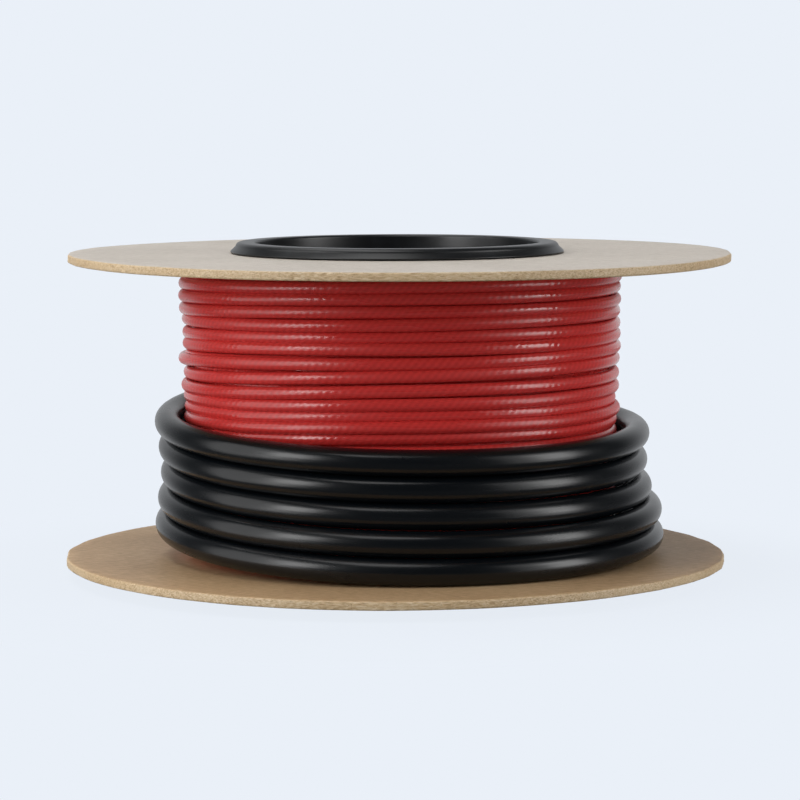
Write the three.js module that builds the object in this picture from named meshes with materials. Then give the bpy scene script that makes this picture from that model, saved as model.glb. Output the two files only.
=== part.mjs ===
// Reel of underfloor heating cable, standing on its end.
// Two round fibreboards sit on a moulded core. The thin heating cable fills the space between
// them, and its thicker supply cable is wound in one layer over the lower half.
// Millimetres, +Z up along the reel's axis, origin at the centre of the foot it stands on.
import * as THREE from 'three';

// Boards
const boardDiameter = 200;
const boardThickness = 2.6;
const boardSpacing = 88.6; // clear height between the two boards
const boardShift = 0.75; // how far each board has slipped sideways on the core

// Core, moulded as two halves that plug together inside the winding
const boreDiameter = 86;
const coreWall = 3;
const collarHeight = 3.1;
const collarGrip = 2.7; // how far a collar reaches past the edge of a board's hole
const collarDraft = 1.6; // how far a collar's side leans in towards its rim
const rimRound = 1.5; // radius on the rim's outer edge
const rimBreak = 0.5; // bevel on the rim's inner edge
const lapLength = 8; // how deep the lower half's spigot enters the upper half

// Heating cable
const cableDiameter = 3.5;
const cableLayers = 6;
const layerBedding = 0.08; // how far each layer sinks between the turns of the one below

// Cold tail
const tailDiameter = 7.7;
const tailSlack = [2.8, 1.8, 0, 0, 0.2]; // how far each turn stands off, from the lowest up

const clearance = 0.3; // between pieces that touch on the real reel

// Sides of the round pieces, and degrees between the points of a rounded outline
const boardSides = 72;
const windingSides = 36;
const cableStep = 60;
const tailStep = 30;
const rimStep = 30;

// A turn's outline shows for this many degrees each way from where it stands out furthest
const flank = 60;
const out = 0;
const up = 90;
const down = -90;

// Places that follow from the sizes above
const boreRadius = boreDiameter / 2;
const tubeRadius = boreRadius + coreWall;
const holeRadius = tubeRadius + clearance + boardShift;
const collarRadius = holeRadius + boardShift + collarGrip;
const lowerBoardZ = collarHeight + clearance;
const lowerFaceZ = lowerBoardZ + boardThickness;
const upperFaceZ = lowerFaceZ + boardSpacing;
const reelHeight = upperFaceZ + boardThickness + clearance + collarHeight;
const windingBore = tubeRadius + clearance;
const cableRadius = cableDiameter / 2;
const layerRise = cableDiameter - layerBedding;
const tailRadius = tailDiameter / 2;
const windingRadius = windingBore + (cableLayers - 0.5) * layerRise + cableRadius;
const windingFoot = lowerFaceZ + clearance;
const windingTop = upperFaceZ - clearance;

const fibreboard = new THREE.MeshStandardMaterial({ color: 0xb9a58c, roughness: 0.9, metalness: 0 });
const blackMoulding = new THREE.MeshStandardMaterial({ color: 0x1d1f21, roughness: 0.5, metalness: 0 });
const redJacket = new THREE.MeshStandardMaterial({ color: 0xb3241f, roughness: 0.35, metalness: 0 });
const blackJacket = new THREE.MeshStandardMaterial({ color: 0x141517, roughness: 0.38, metalness: 0 });

// A ring turned about +Z from an outline of [radius, height] points, anticlockwise in that plane
function turned(name, outline, sides, material) {
  const profile = outline.map(([radius, height]) => new THREE.Vector2(radius, height));
  profile.push(profile[0].clone());
  const geometry = new THREE.LatheGeometry(profile, sides);
  geometry.rotateX(Math.PI / 2);
  const mesh = new THREE.Mesh(geometry, material);
  mesh.name = name;
  return mesh;
}

// Points of an arc, with both its ends, from one angle to the other in equal steps
function arc(centreRadius, centreZ, arcRadius, fromDegrees, toDegrees, stepDegrees) {
  const steps = Math.round((toDegrees - fromDegrees) / stepDegrees);
  return Array.from({ length: steps + 1 }, (_, step) => {
    const angle = THREE.MathUtils.degToRad(fromDegrees + (toDegrees - fromDegrees) * step / steps);
    return [centreRadius + arcRadius * Math.cos(angle), centreZ + arcRadius * Math.sin(angle)];
  });
}

// A round board with a hole that is wide enough for the core and the board's slip on it
function board(name, underside, shift) {
  const outline = [
    [holeRadius, 0],
    [boardDiameter / 2, 0],
    [boardDiameter / 2, boardThickness],
    [holeRadius, boardThickness],
  ];
  const mesh = turned(name, outline, boardSides, fibreboard);
  mesh.position.set(shift, 0, underside);
  return mesh;
}

// The inner end of a core half, from the bore out to the tube, with its height from the middle:
// the socket's skirt reaches over the middle outside, and the spigot reaches over it inside
function lapOutline(isSocket) {
  const lapRadius = boreRadius + coreWall / 2 + (isSocket ? clearance / 2 : -clearance / 2);
  const reach = -lapLength / 2;
  const shoulder = lapLength / 2 + clearance;
  return [
    [boreRadius, isSocket ? shoulder : reach],
    [lapRadius, isSocket ? shoulder : reach],
    [lapRadius, isSocket ? reach : shoulder],
    [tubeRadius, isSocket ? reach : shoulder],
  ];
}

// Half of the core, made with its collar up and the middle of the reel at height 0
function coreHalf(name, isSocket) {
  const rimZ = reelHeight / 2;
  const collarZ = rimZ - collarHeight;
  const roundRadius = Math.min(rimRound, collarHeight / 2);
  const outline = [
    ...lapOutline(isSocket),
    [tubeRadius, collarZ],
    [collarRadius, collarZ],
    ...arc(collarRadius - collarDraft - roundRadius, rimZ - roundRadius, roundRadius, out, up, rimStep),
    [boreRadius + rimBreak, rimZ],
    [boreRadius, rimZ - rimBreak],
  ];
  return turned(name, outline, windingSides, blackMoulding);
}

function coreTop() {
  const mesh = coreHalf('core_top', true);
  mesh.position.z = reelHeight / 2;
  return mesh;
}

function coreBottom() {
  const mesh = coreHalf('core_bottom', false);
  mesh.rotation.x = Math.PI;
  mesh.position.z = reelHeight / 2;
  return mesh;
}

// The whole winding as one ring: its layers show on both ends, and its turns on the outside
function heatingCable() {
  const turnCount = Math.floor((windingTop - windingFoot) / cableDiameter);
  const turnPitch = (windingTop - windingFoot - cableDiameter) / (turnCount - 1);
  const footZ = windingFoot + cableRadius;
  const topZ = windingTop - cableRadius;
  const layerRadius = (_, layer) => windingBore + (layer + 0.5) * layerRise;
  const layerRadii = Array.from({ length: cableLayers }, layerRadius);
  const outerRadius = layerRadii.pop();
  const cable = (radius, z, from, to) => arc(radius, z, cableRadius, from, to, cableStep);
  const outline = [
    [windingBore, footZ],
    ...layerRadii.flatMap((radius) => cable(radius, footZ, down - flank, down + flank)),
    ...cable(outerRadius, footZ, down - flank, out + flank),
  ];
  for (let turn = 1; turn < turnCount - 1; turn += 1) {
    outline.push(...cable(outerRadius, footZ + turn * turnPitch, out - flank, out + flank));
  }
  outline.push(
    ...cable(outerRadius, topZ, out - flank, up + flank),
    ...layerRadii.reverse().flatMap((radius) => cable(radius, topZ, up - flank, up + flank)),
    [windingBore, topZ],
  );
  return turned('heating_cable', outline, windingSides, redJacket);
}

// The supply cable's single layer of turns, stacked up from the lower board
function coldTail() {
  const bore = windingRadius + clearance;
  const turnZ = (turn) => windingFoot + tailRadius + turn * tailDiameter;
  const lastTurn = tailSlack.length - 1;
  const outline = [[bore, turnZ(0)]];
  tailSlack.forEach((slack, turn) => {
    const from = turn === 0 ? down - flank : out - flank;
    const to = turn === lastTurn ? up + flank : out + flank;
    outline.push(...arc(bore + slack + tailRadius, turnZ(turn), tailRadius, from, to, tailStep));
  });
  outline.push([bore, turnZ(lastTurn)]);
  return turned('cold_tail', outline, windingSides, blackJacket);
}

const reel = new THREE.Group();
reel.name = 'heating_cable_reel';
reel.add(
  board('flange_bottom', lowerBoardZ, -boardShift),
  board('flange_top', upperFaceZ, boardShift),
  coreBottom(),
  coreTop(),
  heatingCable(),
  coldTail(),
);

export default reel;
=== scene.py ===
import math

import bpy
import numpy as np
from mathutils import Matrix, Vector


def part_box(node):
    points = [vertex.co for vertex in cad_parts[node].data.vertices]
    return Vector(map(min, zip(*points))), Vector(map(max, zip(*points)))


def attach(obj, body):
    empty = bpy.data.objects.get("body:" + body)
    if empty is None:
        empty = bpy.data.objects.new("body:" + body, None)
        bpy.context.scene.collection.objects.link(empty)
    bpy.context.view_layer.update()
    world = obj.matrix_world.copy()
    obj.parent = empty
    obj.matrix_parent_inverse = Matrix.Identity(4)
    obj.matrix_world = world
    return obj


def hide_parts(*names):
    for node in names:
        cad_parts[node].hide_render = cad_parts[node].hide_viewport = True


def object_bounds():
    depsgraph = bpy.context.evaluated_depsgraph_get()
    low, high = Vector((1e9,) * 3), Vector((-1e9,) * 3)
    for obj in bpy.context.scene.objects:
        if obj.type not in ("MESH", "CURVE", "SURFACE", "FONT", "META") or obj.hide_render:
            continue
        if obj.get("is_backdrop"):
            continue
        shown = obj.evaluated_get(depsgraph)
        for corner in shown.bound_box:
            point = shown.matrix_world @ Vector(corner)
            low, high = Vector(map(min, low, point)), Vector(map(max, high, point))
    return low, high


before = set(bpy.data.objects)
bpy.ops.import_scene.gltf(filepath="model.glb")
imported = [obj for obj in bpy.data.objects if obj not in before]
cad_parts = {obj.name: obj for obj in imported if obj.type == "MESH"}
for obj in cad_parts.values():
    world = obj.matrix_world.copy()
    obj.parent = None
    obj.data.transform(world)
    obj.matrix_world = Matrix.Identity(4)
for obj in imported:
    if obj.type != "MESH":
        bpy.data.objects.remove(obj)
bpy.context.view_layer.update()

mm = 0.001
circle = 2 * math.pi
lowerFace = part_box("flange_bottom")[1][2] / mm  # upper side of the lower board
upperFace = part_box("flange_top")[0][2] / mm     # underside of the upper board
print("frame loaded:", len(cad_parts), "pieces,",
      round(upperFace - lowerFace, 1), "mm between the boards")


# Tools for shapes

def smoothStep(value, start, end):
    # 0 before start, 1 after end, and 3t^2 - 2t^3 in between
    t = np.clip((value - start) / (end - start), 0, 1)
    return t * t * (3 - 2 * t)


def wander(place, amplitude, slowest, fastest, waves, seed):
    # A sum of sine waves of random frequency and phase, scaled to about the given amplitude
    draw = np.random.default_rng(seed)
    frequency = draw.uniform(slowest, fastest, waves)
    phase = draw.uniform(0, circle, waves)
    total = np.sin(circle * place[..., None] * frequency + phase).sum(axis=-1)
    return amplitude * total / math.sqrt(waves / 2)


def ringWander(angle, amplitude, slowest, fastest, seed):
    # As wander, but with whole numbers of waves round the circle, so that it closes on itself
    draw = np.random.default_rng(seed)
    count = np.arange(slowest, fastest + 1)
    phase = draw.uniform(0, circle, len(count))
    strength = draw.normal(size=len(count))
    total = (np.sin(angle[..., None] * count + phase) * strength).sum(axis=-1)
    return amplitude * total / math.sqrt(len(count) / 2)


def gridMesh(name, grid, along, across, closeRows=False, capEnds=False):
    # Points[row, column] joined as quads. Columns always close into a ring, rows do if asked.
    # Its UV map holds along[row] and across[column], which run one past the last where the mesh closes.
    rows, columns, _ = grid.shape
    row = np.arange(rows if closeRows else rows - 1)[:, None]
    column = np.arange(columns)[None, :]
    rowNext = (row + 1) % rows
    columnNext = (column + 1) % columns
    corners = [row * columns + column, row * columns + columnNext,
               rowNext * columns + columnNext, rowNext * columns + column]
    faces = np.stack(np.broadcast_arrays(*corners), axis=-1).reshape(-1, 4)
    u = np.stack(np.broadcast_arrays(along[row], along[row], along[row + 1], along[row + 1]), axis=-1)
    v = np.stack([across[column], across[column + 1], across[column + 1], across[column]], axis=-1)
    places = np.stack([np.broadcast_to(u, (len(row), columns, 4)),
                       np.broadcast_to(v, (len(row), columns, 4))], axis=-1)
    points = grid.reshape(-1, 3)
    a, b, c, d = (points[faces[:, corner]] for corner in range(4))
    volume = (a * np.cross(b, c)).sum() + (a * np.cross(c, d)).sum()
    faceList = faces.tolist()
    uvList = places.reshape(-1, 2)
    if capEnds:
        firstRing = list(range(columns))
        lastRing = [(rows - 1) * columns + index for index in range(columns)]
        faceList += [firstRing[::-1], lastRing]
        ends = [[along[0], across[0]]] * columns + [[along[-1], across[0]]] * columns
        uvList = np.concatenate([uvList, ends])
    mesh = bpy.data.meshes.new(name)
    mesh.from_pydata((points * mm).tolist(), [], faceList)
    layer = mesh.uv_layers.new(name="lay")
    layer.uv.foreach_set("vector", uvList.astype(np.float32).ravel())
    mesh.polygons.foreach_set("use_smooth", np.ones(len(faceList), bool))
    if volume < 0:
        mesh.flip_normals()
    mesh.update()
    piece = bpy.data.objects.new(name, mesh)
    bpy.context.scene.collection.objects.link(piece)
    return piece


def tube(name, path, radius, sides, tall=1):
    # Ring = centre + radius * (cos(a) * side + tall * sin(a) * rise), side level and square to the path.
    # UV: length along the path and distance round the tube, both in millimetres.
    ahead = np.gradient(path, axis=0)
    ahead /= np.linalg.norm(ahead, axis=1, keepdims=True)
    side = np.cross(ahead, [0, 0, 1])
    side /= np.linalg.norm(side, axis=1, keepdims=True)
    rise = np.cross(side, ahead)
    a = np.arange(sides) * circle / sides
    ring = np.cos(a)[None, :, None] * side[:, None, :] + tall * np.sin(a)[None, :, None] * rise[:, None, :]
    radii = np.broadcast_to(radius, len(path))
    grid = path[:, None, :] + radii[:, None, None] * ring
    step = np.linalg.norm(np.diff(path, axis=0), axis=1)
    along = np.concatenate([[0], np.cumsum(step)])
    across = np.arange(sides + 1) / sides * circle * radii.max()
    return gridMesh(name, grid, along, across, capEnds=True)


def arcPoints(centre, radius, start, end, count):
    # Points centre + radius * (cos, sin) from one angle to the other, both ends included
    angle = np.radians(np.linspace(start, end, count))
    return np.stack([centre[0] + radius * np.cos(angle), centre[1] + radius * np.sin(angle)], axis=1)


def turned(name, outline, count, centre=(0, 0), lift=None):
    # The outline's points (r, z) carried round +Z: (r sin a, -r cos a, z), closed both ways.
    # lift(angle, r, z) may return small changes of r and z.
    angle = (np.arange(count) * circle / count)[None, :]
    r = np.broadcast_to(outline[:, :1], (len(outline), count))
    z = np.broadcast_to(outline[:, 1:], (len(outline), count))
    if lift:
        deltaR, deltaZ = lift(np.broadcast_to(angle, r.shape), r, z)
        r, z = r + deltaR, z + deltaZ
    grid = np.stack([centre[0] + r * np.sin(angle), centre[1] - r * np.cos(angle), z], axis=-1)
    step = np.linalg.norm(np.diff(np.vstack([outline, outline[:1]]), axis=0), axis=1)
    along = np.concatenate([[0], np.cumsum(step)])
    across = np.arange(count + 1) / count * circle * outline[:, 0].max()
    return gridMesh(name, grid, along, across, closeRows=True)


def finish(piece, material, slot, *nodes):
    # Gives a piece its material and lets it stand for the frame's pieces, which it hides; slot is not used
    piece.data.materials.append(material)
    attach(piece, "root")
    if nodes:
        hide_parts(*nodes)
    return piece


# Tools for materials

def fromHex(value):
    # sRGB hex to linear: c / 12.92 below 0.04045, else ((c + 0.055) / 1.055)^2.4
    channels = [int(value[i:i + 2], 16) / 255 for i in (1, 3, 5)]
    return (*[c / 12.92 if c <= 0.04045 else ((c + 0.055) / 1.055) ** 2.4 for c in channels], 1)


def addNode(tree, kind, settings=(), links=()):
    # Adds a node; settings name its properties or its sockets, links name sockets and what feeds them
    node = tree.nodes.new(kind)
    for key, value in dict(settings).items():
        if isinstance(key, str) and hasattr(node, key):
            setattr(node, key, value)
        else:
            node.inputs[key].default_value = value
    for key, source in dict(links).items():
        tree.links.new(source, node.inputs[key])
    return node


def newMaterial(name):
    material = bpy.data.materials.new(name)
    material.use_nodes = True
    tree = material.node_tree
    tree.nodes.clear()
    return material, tree


def setRamp(node, stops):
    ramp = node.color_ramp
    while len(ramp.elements) < len(stops):
        ramp.elements.new(1)
    for element, (position, colour) in zip(ramp.elements, stops):
        element.position = position
        element.color = fromHex(colour)


fibreboardLook = {
    "edge": ("#A58660", "#CDB28B", "#DFCBAC"),      # dark, middle and pale fibres of the punched edge
    "stops": (0.38, 0.5, 0.62),                     # where those three lie in the fibres' pattern
    "fibreLength": 2.6,
    "fibreWidth": 0.35,
    "fibreLayers": ((25, 0), (-50, 37), (85, 71)),  # direction of each layer, and its shift from the first
    "fibreRelief": 0.15,
    "patch": 30,
    "patchTone": 0.03,                              # how far a patch moves along the three colours
    "fleck": "#7A5E40",
    "fleckScale": 1.5,                              # of their noise, per millimetre
    "fleckRange": (0.63, 0.72),                     # part of the noise that shows as flecks
    "fleckCover": 0.6,
    "faceBlend": (-0.5, -0.1),                      # where on the outline the face's colour comes in
    "roughness": 0.55,
}


def fibreboard(name, face, faceStart):
    # Hardboard pressed from wood fibre and punched out: its faces are matt with fine crossing fibres,
    # dark flecks and a slight sheen from the press. Its upper side has a colour of its own, which on the
    # upper board is greyer partly as a painted sheen of the pale backdrop, and faceStart is how far along
    # the board's outline that side begins.
    look = fibreboardLook
    material, tree = newMaterial(name)
    where = addNode(tree, "ShaderNodeTexCoord").outputs["Object"]
    inMm = addNode(tree, "ShaderNodeMapping", {"Scale": (1000, 1000, 1000)}, {"Vector": where}).outputs[0]
    fibres = []
    fibreScale = (1 / look["fibreLength"], 1 / look["fibreWidth"], 1 / look["fibreWidth"])
    for turn, shift in look["fibreLayers"]:
        layer = addNode(tree, "ShaderNodeMapping",
                        {"Rotation": (0, 0, math.radians(turn)), "Location": (shift, shift, shift),
                         "Scale": fibreScale}, {"Vector": inMm})
        noise = addNode(tree, "ShaderNodeTexNoise", {"Scale": 1.0, "Detail": 3.0, "Roughness": 0.6},
                        {"Vector": layer.outputs[0]})
        fibres.append(noise.outputs[0])
    pair = addNode(tree, "ShaderNodeMath", {"operation": "ADD"}, {0: fibres[0], 1: fibres[1]}).outputs[0]
    mesh = addNode(tree, "ShaderNodeMath", {"operation": "ADD"}, {0: pair, 1: fibres[2]}).outputs[0]
    mean = addNode(tree, "ShaderNodeMath", {"operation": "DIVIDE", 1: float(len(fibres))},
                   {0: mesh}).outputs[0]
    patches = addNode(tree, "ShaderNodeTexNoise", {"Scale": 1 / look["patch"], "Detail": 4.0},
                      {"Vector": inMm}).outputs[0]
    tone = addNode(tree, "ShaderNodeMapRange",
                   {"From Min": 0.3, "From Max": 0.7,
                    "To Min": -look["patchTone"], "To Max": look["patchTone"]},
                   {"Value": patches}).outputs[0]
    shade = addNode(tree, "ShaderNodeMath", {"operation": "ADD"}, {0: mean, 1: tone}).outputs[0]
    ramps = []
    for stops in (look["edge"], face):
        ramp = addNode(tree, "ShaderNodeValToRGB", {}, {"Fac": shade})
        setRamp(ramp, list(zip(look["stops"], stops)))
        ramps.append(ramp.outputs[0])
    lay = addNode(tree, "ShaderNodeUVMap", {"uv_map": "lay"}).outputs[0]
    onOutline = addNode(tree, "ShaderNodeSeparateXYZ", {}, {0: lay}).outputs[0]
    blendStart, blendEnd = look["faceBlend"]
    faceMask = addNode(tree, "ShaderNodeMapRange",
                       {"From Min": faceStart + blendStart, "From Max": faceStart + blendEnd},
                       {"Value": onOutline}).outputs[0]
    colour = addNode(tree, "ShaderNodeMix", {"data_type": "RGBA"},
                     {0: faceMask, 6: ramps[0], 7: ramps[1]}).outputs[2]
    fleckNoise = addNode(tree, "ShaderNodeTexNoise",
                         {"Scale": look["fleckScale"], "Detail": 2.0, "Roughness": 0.7},
                         {"Vector": inMm}).outputs[0]
    fleckStart, fleckEnd = look["fleckRange"]
    fleckMask = addNode(tree, "ShaderNodeMapRange",
                        {"From Min": fleckStart, "From Max": fleckEnd,
                         "To Min": 0.0, "To Max": look["fleckCover"]},
                        {"Value": fleckNoise}).outputs[0]
    flecked = addNode(tree, "ShaderNodeMix", {"data_type": "RGBA", 7: fromHex(look["fleck"])},
                      {0: fleckMask, 6: colour}).outputs[2]
    bump = addNode(tree, "ShaderNodeBump", {"Strength": 0.6, "Distance": look["fibreRelief"] * mm},
                   {"Height": mean})
    shader = addNode(tree, "ShaderNodeBsdfPrincipled", {"Roughness": look["roughness"], "IOR": 1.5},
                     {"Base Color": flecked, "Normal": bump.outputs[0]})
    addNode(tree, "ShaderNodeOutputMaterial", {}, {"Surface": shader.outputs[0]})
    return material


redJacketLook = {
    "colour": "#CE3835",
    # painted shade: a little darker colour for the grooves between the braid's strands
    "grooveShade": "#BE312E",
    "strandPitch": 2.3,   # along the cable between neighbouring strands
    "strands": 4,         # round the cable, a whole number so that the pattern closes
    "crossing": 0.35,     # strength of the strands that lean the other way
    "relief": 0.042,
    "patchScale": (0.014, 0.1),     # slow changes of gloss, along and round the cable, per millimetre
    "smooth": 0.11,
    "dull": 0.38,
}


def redJacket(cableRadius):
    # Thin PVC jacket drawn tight over a metal braid: glossy, and the braid's slanted strands press
    # through it, which breaks each highlight into short slanted dashes. Its grooves between the strands are
    # coloured a little darker, as painted shade.
    look = redJacketLook
    material, tree = newMaterial("red_pvc_jacket_over_braid")
    lay = addNode(tree, "ShaderNodeUVMap", {"uv_map": "lay"}).outputs[0]
    split = addNode(tree, "ShaderNodeSeparateXYZ", {}, {0: lay})
    roundStep = circle * cableRadius / look["strands"]
    strands = []
    for lean in (-1, 1):
        alongPart = addNode(tree, "ShaderNodeMath",
                            {"operation": "MULTIPLY", 1: circle / look["strandPitch"]},
                            {0: split.outputs[0]}).outputs[0]
        roundPart = addNode(tree, "ShaderNodeMath",
                            {"operation": "MULTIPLY", 1: lean * circle / roundStep},
                            {0: split.outputs[1]}).outputs[0]
        total = addNode(tree, "ShaderNodeMath", {"operation": "ADD"},
                        {0: alongPart, 1: roundPart}).outputs[0]
        strands.append(addNode(tree, "ShaderNodeMath", {"operation": "SINE"}, {0: total}).outputs[0])
    weaker = addNode(tree, "ShaderNodeMath", {"operation": "MULTIPLY", 1: look["crossing"]},
                     {0: strands[1]}).outputs[0]
    weave = addNode(tree, "ShaderNodeMath", {"operation": "ADD"}, {0: strands[0], 1: weaker}).outputs[0]
    most = 1 + look["crossing"]
    height = addNode(tree, "ShaderNodeMapRange", {"From Min": -most, "From Max": most},
                     {"Value": weave}).outputs[0]
    stretch = addNode(tree, "ShaderNodeMapping", {"Scale": (*look["patchScale"], 1)},
                      {"Vector": lay}).outputs[0]
    slow = addNode(tree, "ShaderNodeTexNoise", {"Scale": 1.0, "Detail": 2.0}, {"Vector": stretch}).outputs[0]
    roughness = addNode(tree, "ShaderNodeMapRange",
                        {"From Min": 0.4, "From Max": 0.58,
                         "To Min": look["smooth"], "To Max": look["dull"]},
                        {"Value": slow}).outputs[0]
    # painted shade: the braid's grooves take the darker colour, by the same height that drives the bump
    colour = addNode(tree, "ShaderNodeMix",
                     {"data_type": "RGBA", 6: fromHex(look["grooveShade"]), 7: fromHex(look["colour"])},
                     {0: height}).outputs[2]
    bump = addNode(tree, "ShaderNodeBump", {"Strength": 1.0, "Distance": look["relief"] * mm},
                   {"Height": height})
    shader = addNode(tree, "ShaderNodeBsdfPrincipled", {"IOR": 1.5},
                     {"Base Color": colour, "Roughness": roughness, "Normal": bump.outputs[0]})
    addNode(tree, "ShaderNodeOutputMaterial", {}, {"Surface": shader.outputs[0]})
    return material


blackJacketLook = {
    "colour": "#070B0F",
    "smooth": 0.22,
    "dull": 0.3,
    "drawLine": (50, 0.45),     # length and width of the faint lines that extrusion leaves
    "relief": 0.02,
    "patchScale": (0.03, 0.12),     # slow changes of gloss, along and round the jacket, per millimetre
}


def blackJacket():
    # Extruded PVC sheath: nearly black, semi-gloss, with faint draw lines along its length that
    # soften the highlight a little, and slow changes of gloss where it was handled.
    look = blackJacketLook
    material, tree = newMaterial("black_pvc_extruded_sheath")
    lay = addNode(tree, "ShaderNodeUVMap", {"uv_map": "lay"}).outputs[0]
    lineLength, lineWidth = look["drawLine"]
    lines = addNode(tree, "ShaderNodeMapping", {"Scale": (1 / lineLength, 1 / lineWidth, 1)},
                    {"Vector": lay}).outputs[0]
    draw = addNode(tree, "ShaderNodeTexNoise", {"Scale": 1.0, "Detail": 2.0}, {"Vector": lines}).outputs[0]
    patch = addNode(tree, "ShaderNodeMapping", {"Scale": (*look["patchScale"], 1)},
                    {"Vector": lay}).outputs[0]
    slow = addNode(tree, "ShaderNodeTexNoise", {"Scale": 1.0, "Detail": 3.0}, {"Vector": patch}).outputs[0]
    roughness = addNode(tree, "ShaderNodeMapRange",
                        {"From Min": 0.3, "From Max": 0.7,
                         "To Min": look["smooth"], "To Max": look["dull"]},
                        {"Value": slow}).outputs[0]
    bump = addNode(tree, "ShaderNodeBump", {"Strength": 0.35, "Distance": look["relief"] * mm},
                   {"Height": draw})
    shader = addNode(tree, "ShaderNodeBsdfPrincipled", {"Base Color": fromHex(look["colour"]), "IOR": 1.45},
                     {"Roughness": roughness, "Normal": bump.outputs[0]})
    addNode(tree, "ShaderNodeOutputMaterial", {}, {"Surface": shader.outputs[0]})
    return material


coreLook = {
    "colour": "#0C0E10",
    "worn": "#1C1F22",
    "scuffScale": 0.12,     # scuffs per millimetre
    "scuffRange": (0.52, 0.75),
    "grain": 0.5,
    "relief": 0.04,
    "roughness": 0.36,
}


def coreMoulding():
    # Injection-moulded polypropylene, black: satin, with the fine spark-eroded grain of the mould
    # and slightly paler scuffs.
    look = coreLook
    material, tree = newMaterial("black_polypropylene_moulded")
    where = addNode(tree, "ShaderNodeTexCoord").outputs["Object"]
    inMm = addNode(tree, "ShaderNodeMapping", {"Scale": (1000, 1000, 1000)}, {"Vector": where}).outputs[0]
    grain = addNode(tree, "ShaderNodeTexNoise", {"Scale": 1 / look["grain"], "Detail": 3.0},
                    {"Vector": inMm}).outputs[0]
    scuffs = addNode(tree, "ShaderNodeTexNoise",
                     {"Scale": look["scuffScale"], "Detail": 6.0, "Roughness": 0.65},
                     {"Vector": inMm}).outputs[0]
    scuffStart, scuffEnd = look["scuffRange"]
    worn = addNode(tree, "ShaderNodeMapRange", {"From Min": scuffStart, "From Max": scuffEnd},
                   {"Value": scuffs}).outputs[0]
    colour = addNode(tree, "ShaderNodeMix",
                     {"data_type": "RGBA", 6: fromHex(look["colour"]), 7: fromHex(look["worn"])},
                     {0: worn}).outputs[2]
    bump = addNode(tree, "ShaderNodeBump", {"Strength": 0.3, "Distance": look["relief"] * mm},
                   {"Height": grain})
    shader = addNode(tree, "ShaderNodeBsdfPrincipled", {"Roughness": look["roughness"], "IOR": 1.49},
                     {"Base Color": colour, "Normal": bump.outputs[0]})
    addNode(tree, "ShaderNodeOutputMaterial", {}, {"Surface": shader.outputs[0]})
    return material


# Camera and stage

cameraView = {
    "distance": 1020,   # from the reel's axis to the lens
    "height": 142.9,    # above the lower board
    "aside": 1.0,
    "pitch": 5.41,
    "roll": 0.13,
    "lens": 151.65,
    "sensor": 36,
}


def placeCamera():
    view = cameraView
    data = bpy.data.cameras.new("camera")
    data.lens = view["lens"]
    data.sensor_width = view["sensor"]
    data.clip_start = 0.05
    data.clip_end = 50
    camera = bpy.data.objects.new("camera", data)
    camera.location = (view["aside"] * mm, -view["distance"] * mm, (lowerFace + view["height"]) * mm)
    camera.rotation_euler = (math.radians(90 - view["pitch"]), math.radians(view["roll"]), 0)
    bpy.context.scene.collection.objects.link(camera)
    bpy.context.scene.camera = camera


studio = {
    "surround": "#EAF0F8",
    "floorSize": 12000,
    "floorHeights": (-0.2, -40.0),
    "sides": 64,            # of the round floor and backdrop
    "floorShade": 0.06,     # share of the floor that is matt near the reel and so takes its shadow
    "shadeReach": (105, 170),
    "room": "#F4F7FB",
    "front": 0.06,          # brightness of the room in front, behind and below
    "back": 0.75,
    "backReach": (0.45, 0.95),      # from where to where the back grows bright, by the direction's +Y part
    "below": 0.12,
    "belowReach": (0.05, -0.12),    # the same for below, by its +Z part
    "lights": {             # angle round the reel, height angle, angle across, angle up, radiance
        "key": (-50, 16, 18, 30, 5.0),
        "keyFoot": (-56, -8, 20, 20, 1.7),
        "leftPanel": (-76, 10, 44, 66, 1.2),
        "fill": (73, 15, 19, 34, 3.7),
        "fillFoot": (74, -8, 20, 20, 1.3),
        "rightPanel": (66, 12, 36, 60, 0.8),
        "top": (-70, 73, 64, 30, 2.2),
    },
    "lightDistance": 1300,
}


def emissive(name, colour, shade=0):
    # Shines in the given colour; near the reel the given share of it is matt and so takes a shadow
    material, tree = newMaterial(name)
    surface = addNode(tree, "ShaderNodeEmission", {"Color": fromHex(colour), "Strength": 1.0}).outputs[0]
    if shade:
        where = addNode(tree, "ShaderNodeTexCoord").outputs["Object"]
        away = addNode(tree, "ShaderNodeVectorMath", {"operation": "LENGTH"}, {0: where}).outputs["Value"]
        start, end = studio["shadeReach"]
        near = addNode(tree, "ShaderNodeMapRange",
                       {"interpolation_type": "SMOOTHSTEP", "From Min": start * mm, "From Max": end * mm,
                        "To Min": shade, "To Max": 0.0}, {"Value": away}).outputs[0]
        cover = addNode(tree, "ShaderNodeBsdfDiffuse", {"Color": fromHex(colour)})
        surface = addNode(tree, "ShaderNodeMixShader", {},
                          {0: near, 1: surface, 2: cover.outputs[0]}).outputs[0]
    addNode(tree, "ShaderNodeOutputMaterial", {}, {"Surface": surface})
    return material


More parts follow.
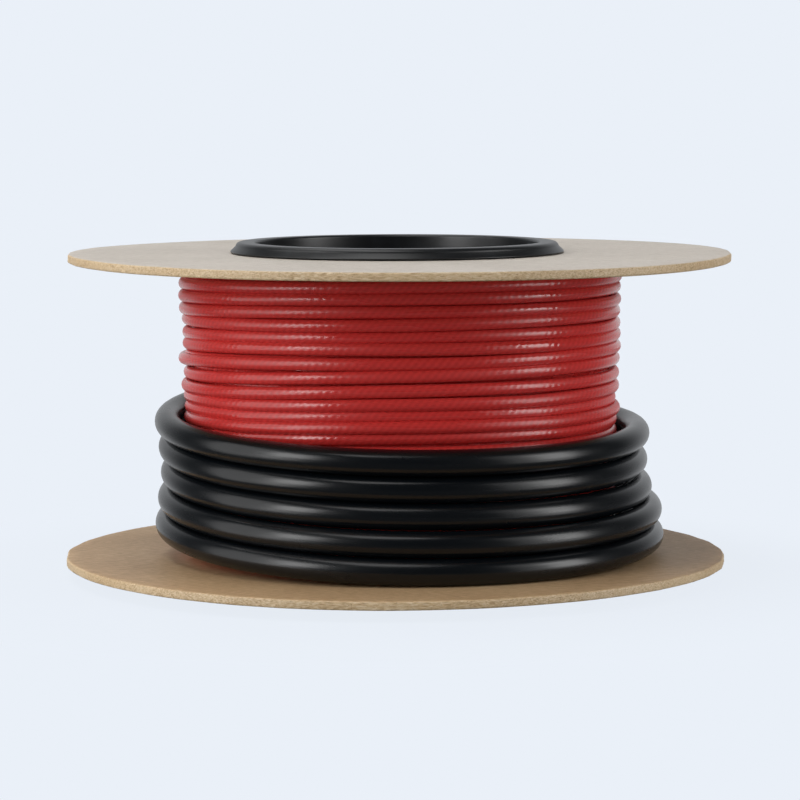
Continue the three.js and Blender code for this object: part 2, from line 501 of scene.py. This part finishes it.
def cameraOnly(piece):
    # A surround that the camera sees, but that neither lights the reel nor shows in its gloss
    piece.visible_diffuse = False
    piece.visible_glossy = False
    piece.visible_transmission = False
    piece.visible_shadow = False
    piece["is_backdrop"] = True


def buildStage():
    # The floor is two rings (half sin a, -half cos a, z) with caps. The backdrop is a ball of the same
    # radius, whose rings have the radius half cos e and the height half sin e.
    half, sides = studio["floorSize"] / 2, studio["sides"]
    angle = np.arange(sides) * circle / sides
    rings = [np.stack([half * np.sin(angle), -half * np.cos(angle), np.full(sides, z)], axis=-1)
             for z in studio["floorHeights"]]
    floor = gridMesh("floor", np.stack(rings), np.arange(3), np.arange(sides + 1), capEnds=True)
    floor.data.materials.append(emissive("floor_pale", studio["surround"], studio["floorShade"]))
    cameraOnly(floor)
    rise = np.radians(np.linspace(-89, 89, 24))
    dome = np.stack([np.stack([half * np.cos(e) * np.sin(angle), -half * np.cos(e) * np.cos(angle),
                               np.full(sides, half * np.sin(e))], axis=-1) for e in rise])
    backdrop = gridMesh("backdrop", dome, np.arange(len(rise) + 1), np.arange(sides + 1), capEnds=True)
    backdrop.data.materials.append(emissive("backdrop_pale", studio["surround"]))
    cameraOnly(backdrop)


def buildWorld():
    # What the reel's gloss sees around it: a dim room, a pale backdrop behind and a pale table below
    world = bpy.data.worlds.new("studio_room")
    bpy.context.scene.world = world
    world.use_nodes = True
    tree = world.node_tree
    tree.nodes.clear()
    way = addNode(tree, "ShaderNodeTexCoord").outputs["Generated"]
    split = addNode(tree, "ShaderNodeSeparateXYZ", {}, {0: way})
    brightness = []
    for part, reach, low, high in ((1, "backReach", studio["front"], studio["back"]),
                                   (2, "belowReach", 0.0, studio["below"])):
        start, end = studio[reach]
        glowPart = addNode(tree, "ShaderNodeMapRange",
                           {"interpolation_type": "SMOOTHSTEP", "From Min": start, "From Max": end,
                            "To Min": low, "To Max": high}, {"Value": split.outputs[part]})
        brightness.append(glowPart.outputs[0])
    strength = addNode(tree, "ShaderNodeMath", {"operation": "MAXIMUM"},
                       {0: brightness[0], 1: brightness[1]}).outputs[0]
    glow = addNode(tree, "ShaderNodeBackground", {"Color": fromHex(studio["room"])}, {"Strength": strength})
    addNode(tree, "ShaderNodeOutputWorld", {}, {"Surface": glow.outputs[0]})


def buildLights():
    # An area light's radiance is its power / (4 * area)
    middle = np.array([0, 0, (lowerFace + upperFace) / 2])
    away = studio["lightDistance"]
    for name, (turn, rise, across, up, radiance) in studio["lights"].items():
        data = bpy.data.lights.new(name, "AREA")
        data.shape = "RECTANGLE"
        data.size = 2 * away * math.tan(math.radians(across / 2)) * mm
        data.size_y = 2 * away * math.tan(math.radians(up / 2)) * mm
        data.energy = radiance * 4 * data.size * data.size_y
        light = bpy.data.objects.new(name, data)
        a, e = math.radians(turn), math.radians(rise)
        way = np.array([math.cos(e) * math.sin(a), -math.cos(e) * math.cos(a), math.sin(e)])
        light.location = (middle + way * away) * mm
        light.rotation_euler = (math.pi / 2 - e, 0, a)
        light.visible_camera = False
        bpy.context.scene.collection.objects.link(light)


placeCamera()
buildStage()
buildWorld()
buildLights()
bpy.context.scene.view_settings.view_transform = "Standard"
print("camera, floor and lights in place")


# Boards

boards = {
    "holeRadius": 47.05,
    "edgeRound": 0.55,
    "holeRound": 0.3,
    "fuzz": 0.07,       # how far fibres roughen the punched edge
    "fuzzWaves": (90, 260),     # fewest and most waves round the circle
    "ragged": 0.1,      # slower unevenness of the edge
    "raggedWaves": (5, 45),
    "layerLean": 0.35,  # how the fuzz shifts round the edge with height, in radians per millimetre
    "rimWidth": 1.2,    # how far in from the edge it starts to be uneven
    "rimFull": 0.2,     # how far in from the edge it is fully so
    "inset": 0.15,      # how far the edge is drawn in, so that the fuzz ends near the board's true radius
    "warp": 0.12,       # how far the rim leaves the flat
    "warpWaves": (2, 4),
    "flatPoints": 14,
    "around": 900,
    "upperDroop": 0.3,  # how far the upper board's front hangs
    "upperFace": ("#B8AFA2", "#D1C7BB", "#E1D9CF"),     # dark, middle and pale fibres of its smooth face; their grey is partly the face's own tone and partly a painted sheen of the pale backdrop at a grazing view
    "lowerFace": ("#9A7C58", "#BC9B73", "#D2B68F"),
}


def board(name, node, face, droop, seed):
    # A turned outline; the rim's radius takes sine waves round the circle, and the board's height
    # takes slow waves and a droop at the front, both growing with ((r - hole) / (outer - hole))^2
    low, high = (np.array(corner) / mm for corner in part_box(node))
    outer = (high[1] - low[1]) / 2
    centre = ((low[0] + high[0]) / 2, 0)
    bottom, top = low[2], high[2]
    hole, edge, lip = boards["holeRadius"], boards["edgeRound"], boards["holeRound"]
    flatPoints = boards["flatPoints"]
    under = np.stack([np.linspace(hole + lip, outer - edge, flatPoints),
                      np.full(flatPoints, bottom)], axis=1)
    over = np.stack([under[::-1, 0], np.full(flatPoints, top)], axis=1)
    underAndEdge = np.vstack([
        under[:-1],
        arcPoints((outer - edge, bottom + edge), edge, -90, 0, 5),
        [[outer, (bottom + top) / 2]],
        arcPoints((outer - edge, top - edge), edge, 0, 90, 5),
    ])
    faceStart = np.linalg.norm(np.diff(underAndEdge, axis=0), axis=1).sum()
    outline = np.vstack([
        underAndEdge,
        over[1:],
        arcPoints((hole + lip, top - lip), lip, 100, 180, 4),
        arcPoints((hole + lip, bottom + lip), lip, 180, 260, 4),
    ])

    def unevenness(angle, r, z):
        rim = smoothStep(r, outer - boards["rimWidth"], outer - boards["rimFull"])
        leaned = angle + boards["layerLean"] * (z - bottom)
        layer = ringWander(leaned, boards["fuzz"], *boards["fuzzWaves"], seed)
        edgeWave = ringWander(angle, boards["ragged"], *boards["raggedWaves"], seed + 1)
        bend = ringWander(angle, boards["warp"], *boards["warpWaves"], seed + 2) - droop * np.cos(angle)
        return rim * (layer + edgeWave) - rim * boards["inset"], bend * ((r - hole) / (outer - hole)) ** 2

    piece = turned(name, outline, boards["around"], centre, unevenness)
    return finish(piece, fibreboard("hardboard_" + name, face, faceStart), "fibreboard", node)


board("board_lower", "flange_bottom", boards["lowerFace"], 0, 11)
# the upper board's face colours hold a painted sheen of the pale backdrop, which greys them
board("board_upper", "flange_top", boards["upperFace"], boards["upperDroop"], 23)
print("boards made")


# Core

core = {
    "boreRadius": 43,
    "tubeRadius": 46,
    "lap": 8,
    "clearance": 0.3,
    "draft": 1.6,
    "rimRound": 1.5,
    "rimFlat": 1.2,     # flat part of the rim beside the bore's rounded edge
    "boreRound": 0.8,
    "collarRound": 0.4, # radius on the collar's edge beside the board
    "neck": 0.2,        # bevel between the tube and the collar
    "bevel": 0.15,
    "around": 256,
}


def coreHalf(name, node, material, isUpper):
    # Outline of one half with its rim up; the lower half is the same outline with its heights turned over
    low, high = (np.array(corner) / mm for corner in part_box(node))
    collarRadius = high[0]
    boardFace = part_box("flange_top" if isUpper else "flange_bottom")
    rim = high[2] if isUpper else 0
    collar = abs(rim - boardFace[1 if isUpper else 0][2] / mm) - core["clearance"]
    middle = (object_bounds()[0][2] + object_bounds()[1][2]) / mm / 2
    rimUp = abs(rim - middle)
    bore, tubeOut = core["boreRadius"], core["tubeRadius"]
    lapRadius = (bore + tubeOut) / 2 + (core["clearance"] / 2 if isUpper else -core["clearance"] / 2)
    reach, shoulder = -core["lap"] / 2, core["lap"] / 2 + core["clearance"]
    inner, outer = (shoulder, reach) if isUpper else (reach, shoulder)
    lip, edge, neck, collarRound = core["boreRound"], core["rimRound"], core["neck"], core["collarRound"]
    collarFoot = rimUp - collar
    outline = np.vstack([
        [[bore, inner], [lapRadius, inner], [lapRadius, outer], [tubeOut, outer]],
        [[tubeOut, collarFoot - neck], [tubeOut + neck, collarFoot]],
        arcPoints((collarRadius - collarRound, collarFoot + collarRound), collarRound, -90, -15, 4),
        arcPoints((collarRadius - core["draft"] - edge, rimUp - edge), edge, 8, 90, 9),
        [[bore + lip + core["rimFlat"], rimUp]],
        arcPoints((bore + lip, rimUp - lip), lip, 90, 180, 7),
    ])
    heights = middle + outline[:, 1] if isUpper else middle - outline[:, 1]
    piece = turned(name, np.stack([outline[:, 0], heights], axis=1), core["around"])
    bevel = piece.modifiers.new("edges", "BEVEL")
    bevel.width = core["bevel"] * mm
    bevel.limit_method = "ANGLE"
    bevel.angle_limit = math.radians(50)
    bevel.segments = 2
    return finish(piece, material, "core_moulding", node)


coreMaterial = coreMoulding()
coreHalf("core_upper_half", "core_top", coreMaterial, True)
coreHalf("core_lower_half", "core_bottom", coreMaterial, False)
print("core made")


# Heating cable

heatingCable = {
    "radius": 1.7,
    "tall": 1.11,               # its two cores lie one above the other, so it is a little taller than wide
    "aside": 1.0,               # the winding sits this far to the right of the core's axis
    "topTurn": 3.9,             # highest turn at the front, below the upper board
    # From the highest turn down, from each to the next at the front
    "steps": [3.7, 3.6, 3.7, 3.65, 3.4, 3.85, 3.85, 4.1, 4.3, 3.4, 3.0, 3.1],
    "hiddenTurns": 10,          # behind the cold tail
    "lowestFront": 3.4,         # lowest turn at the front, above the lower board
    "closest": 3.2,             # centre to centre, of turns that press together
    "sunk": [0, 0, 0.2, 0, 0.5, 0, 0, 0, 0.2, 0.3, 1.3, 0.2, 1.1, 0],  # turns that lie deeper, from the top
    "lean": 1.0,                # half of how much lower the top turns lie at the back than at the front
    "sink": 3.1,                # from this layer down to the next
    "dive": (0.24, 0.02),       # turns before the end, between which it sinks into that layer
    "lastPart": 0.93,           # part of a turn that it goes on past the highest turn's front
    "clearance": 0.1,           # to the boards
    "heightWander": (0.2, 0.4, 3.3, 14, 5),     # amplitude, slowest and fastest waves a turn, count, seed
    "layWander": (0.22, 0.2, 2.2, 12, 6),       # the same for the radius
    "wanderFrom": (0.1, 0.4),   # share of the height between the boards over which heights start to wander
    "perTurn": 176,
    "sides": 14,
    "bore": 46.3,
}
bodyOfWinding = {   # outside radius by height above the lower board: pressed in by the tail, then waisted
    "height": [1.3, 36.3, 44.3, 59.3, 73.3, 86.3],
    "radius": [65.4, 65.4, 66.8, 66.2, 66.8, 67.3],
}
leftSag = {     # how far the turns hang down at the left, by height above the lower board
    "height": [33.3, 49.3, 54.3, 58.3, 63.3, 69.3, 77.3, 84.3],
    "drop": [1.2, 1.6, 1.9, 1.6, 1.1, 0.7, 0.7, 0.4],
}
crossing = {    # a turn of the layer below that comes up at the left and lifts the turn over it
    "height": 64.6,
    "angle": -88,
    "rise": 0.8,
    "width": 12,
    "strandAngles": (-150, -18),
    "strandPoints": 90,
    "strandRadius": 61.9,
    "strandArch": 2.1,      # how much further out it lies in its middle
    "strandHeight": 58.6,
    "strandClimb": 4.6,
}
underLayers = {
    "gap": 0.35,        # to the boards
    "behind": 0.1,      # to the outer layer
    "endFlank": 55,     # degrees of a turn that show each way on the winding's ends
    "sideFlank": 62,    # the same on its outside
    "around": 144,
}


def halfHeight():
    return heatingCable["radius"] * heatingCable["tall"] + heatingCable["clearance"]


def frontHeights():
    # Heights of the turns where they pass the front, from the lowest up, with one past the top
    seen = upperFace - heatingCable["topTurn"] - np.concatenate([[0], np.cumsum(heatingCable["steps"])])
    lowest = lowerFace + heatingCable["lowestFront"]
    hidden = np.linspace(seen[-1], lowest, heatingCable["hiddenTurns"] + 1)[1:]
    past = upperFace - halfHeight()
    return np.concatenate([[past], seen, hidden])[::-1]


def windingPath(start, end):
    # Helix (aside + r sin a, -r cos a, z): a grows a full circle a turn, z follows the front heights,
    # leans back, sags on the left and wanders a little; r follows the winding's body.
    perTurn = heatingCable["perTurn"]
    heights = frontHeights()
    count = int((end - start) * perTurn) + 1
    turn = start + np.arange(count) / perTurn
    slope = heights[1] - heights[0]
    z = np.interp(turn, np.arange(-1, len(heights)), np.concatenate([[heights[0] - slope], heights]))
    angle = circle * turn
    share = (z - lowerFace) / (upperFace - lowerFace)
    z = z - heatingCable["lean"] * share * (1 - np.cos(angle))
    drop = np.interp(z - lowerFace, leftSag["height"], leftSag["drop"], left=0)
    z = z - drop * np.maximum(0, -np.sin(angle)) ** 2
    z = z + wander(turn, *heatingCable["heightWander"]) * smoothStep(share, *heatingCable["wanderFrom"])
    floor, ceiling = lowerFace + halfHeight(), upperFace - halfHeight()
    z = np.clip(z, floor, ceiling)
    for first in range(perTurn, count, perTurn):   # each turn keeps off the one below it
        above = z[first:first + perTurn]
        below = z[first - perTurn:first - perTurn + len(above)]
        z[first:first + perTurn] = np.maximum(above, below + heatingCable["closest"])
    z = np.minimum(z, ceiling)
    r = np.interp(z - lowerFace, bodyOfWinding["height"], bodyOfWinding["radius"]) - heatingCable["radius"]
    r = r + wander(turn, *heatingCable["layWander"])
    last = len(heights) - 2
    sunk = heatingCable["sunk"]
    r = r - np.interp(turn, last - np.arange(len(sunk))[::-1], sunk[::-1])
    lifted = np.round(np.interp(lowerFace + crossing["height"], heights, np.arange(len(heights))))
    knuckle = lifted + crossing["angle"] / 360
    r = r + crossing["rise"] * np.exp(-((turn - knuckle) * 360 / crossing["width"]) ** 2)
    diveStart, diveEnd = heatingCable["dive"]
    r = r - heatingCable["sink"] * smoothStep(turn, end - diveStart, end - diveEnd)
    return turn, angle, r, z


lead = {            # the heating cable's first part, from the joint to its lowest turn
    "start": -0.54,     # in turns, as the next
    "joined": -0.37,
    "radius": 72.0,
    "height": 4.8,
}


def windTurns(material):
    last = len(frontHeights()) - 2
    turn, angle, r, z = windingPath(lead["start"], last + heatingCable["lastPart"])
    joined = smoothStep(turn, lead["start"], lead["joined"])
    r = lead["radius"] * (1 - joined) + r * joined
    z = (lowerFace + lead["height"]) * (1 - joined) + z * joined
    path = np.stack([heatingCable["aside"] + r * np.sin(angle), -r * np.cos(angle), z], axis=1)
    length = np.linalg.norm(np.diff(path, axis=0), axis=1).sum()
    print("outer layer:", round(turn[-1] - turn[0], 2), "turns,", round(length * mm, 2), "m")
    piece = tube("heating_cable_outer_layer", path, heatingCable["radius"], heatingCable["sides"],
                 heatingCable["tall"])
    return finish(piece, material, "red_jacket", "heating_cable")


def windUnderLayers(material):
    # One turned body for the layers underneath, with its turns on the outside and layers on its ends
    radius, rise = heatingCable["radius"], heatingCable["sink"]
    outer = min(bodyOfWinding["radius"]) - 2 * radius - underLayers["behind"]
    foot, top = lowerFace + underLayers["gap"] + radius, upperFace - underLayers["gap"] - radius
    layers = np.arange(heatingCable["bore"] + radius, outer - rise, rise)
    turns = np.linspace(foot, top, int((top - foot) / (2 * radius)) + 1)
    end, side = underLayers["endFlank"], underLayers["sideFlank"]
    outline = [[[heatingCable["bore"], foot]]]
    outline += [arcPoints((r, foot), radius, -90 - end, -90 + end, 4) for r in layers]
    outline += [arcPoints((outer, foot), radius, -90 - end, side, 8)]
    outline += [arcPoints((outer, z), radius, -side, side, 6) for z in turns[1:-1]]
    outline += [arcPoints((outer, top), radius, -side, 90 + end, 8)]
    outline += [arcPoints((r, top), radius, 90 - end, 90 + end, 4) for r in layers[::-1]]
    outline += [[[heatingCable["bore"], top]]]
    piece = turned("heating_cable_under_layers", np.vstack(outline), underLayers["around"],
                   (heatingCable["aside"], 0))
    return finish(piece, material, "red_jacket", "heating_cable")


def crossingStrand(material):
    # The turn that comes up from the layer below: r is the inner radius + arch * sin(pi t)^0.6, and
    # z climbs evenly, for t from 0 to 1 along it
    angle = np.radians(np.linspace(*crossing["strandAngles"], crossing["strandPoints"]))
    share = np.linspace(0, 1, crossing["strandPoints"])
    r = crossing["strandRadius"] + crossing["strandArch"] * np.sin(math.pi * share) ** 0.6
    z = lowerFace + crossing["strandHeight"] + crossing["strandClimb"] * share
    path = np.stack([heatingCable["aside"] + r * np.sin(angle), -r * np.cos(angle), z], axis=1)
    piece = tube("heating_cable_crossing_turn", path, heatingCable["radius"], heatingCable["sides"])
    return finish(piece, material, "red_jacket")


redMaterial = redJacket(heatingCable["radius"])
windTurns(redMaterial)
windUnderLayers(redMaterial)
crossingStrand(redMaterial)
print("heating cable wound")


# Cold tail

coldTail = {
    "radius": 3.85,
    "firstHeight": 35.1,     # first turn at the front, above the lower board
    "pitch": 7.72,
    "lean": 3.9,             # half of how much higher the turns lie at the back than at the front
    "start": -0.6,
    "end": 4.37,
    "perTurn": 180,
    "sides": 28,
    "settleTurn": [0.25, 1.25, 2.25, 3.25],              # turns that hang down onto the next at the right
    "settle": [0.05, 0.4, 0.9, 0.05],
    "landing": (4.24, 4.36),    # turns between which it comes down to the joint's height
    "cutRound": 0.25,           # how much narrower its cut end is, for a worn edge
    "turn": [-0.6, -0.45, 0, 1, 2, 3, 4, 4.3, 4.46],     # where the next two are given
    "lay": [74.6, 71.8, 71.15, 70.15, 70.25, 72.75, 73.75, 73.5, 72.0],
    "aside": [1.7, 1.7, 1.7, 1.7, 2.3, 3.4, 3.8, 3.4, 1.0],
}
joint = {
    "start": 4.345,     # in turns of the cold tail, as the next
    "end": 4.465,
    "radius": 4.75,
    "wall": 0.1,        # the sleeve's least thickness over the tail
    "swell": 0.08,      # part of its length in which it reaches its full radius
    "taper": 0.6,       # part of its length after which it narrows
    "thinWall": 0.45,   # its thickness over the heating cable, at its end
}


def tailPath(start, end):
    # Helix that runs down, (aside + r sin a, -r cos a, z), with z = first - pitch t + lean (1 - cos a);
    # its end comes down on the lower board
    tail = coldTail
    count = int((end - start) * tail["perTurn"]) + 1
    turn = np.linspace(start, end, count)
    angle = circle * turn
    z = tail["firstHeight"] - tail["pitch"] * turn + tail["lean"] * (1 - np.cos(angle))
    z = z - np.interp(turn, tail["settleTurn"], tail["settle"]) * np.maximum(0, np.sin(angle)) ** 2
    landed = smoothStep(turn, *tail["landing"])
    z = lowerFace + z * (1 - landed) + lead["height"] * landed
    r = np.interp(turn, tail["turn"], tail["lay"])
    aside = np.interp(turn, tail["turn"], tail["aside"])
    return turn, np.stack([aside + r * np.sin(angle), -r * np.cos(angle), z], axis=1)


def windTail(material):
    turn, path = tailPath(coldTail["start"], coldTail["end"])
    length = np.linalg.norm(np.diff(path, axis=0), axis=1).sum()
    print("cold tail:", round(turn[-1] - turn[0], 2), "turns,", round(length * mm, 2), "m")
    radius = np.full(len(path), float(coldTail["radius"]))
    radius[0] -= coldTail["cutRound"]
    piece = tube("cold_tail_turns", path, radius, coldTail["sides"])
    return finish(piece, material, "black_jacket", "cold_tail")


def jointSleeve(material):
    # Sleeve where the two cables meet: its radius rises from the tail's to its own, and then
    # tapers to the thin cable's, both as smooth steps along its length
    turn, path = tailPath(joint["start"], joint["end"])
    t = (turn - turn[0]) / (turn[-1] - turn[0])
    atTail = coldTail["radius"] + joint["wall"]
    atCable = heatingCable["radius"] + joint["thinWall"]
    swell = smoothStep(t, 0, joint["swell"]) * (joint["radius"] - atTail)
    taper = smoothStep(t, joint["taper"], 1.0) * (joint["radius"] - atCable)
    piece = tube("cold_joint_sleeve", path, atTail + swell - taper, coldTail["sides"])
    return finish(piece, material, "black_jacket")


blackMaterial = blackJacket()
windTail(blackMaterial)
jointSleeve(blackMaterial)
print("cold tail wound")
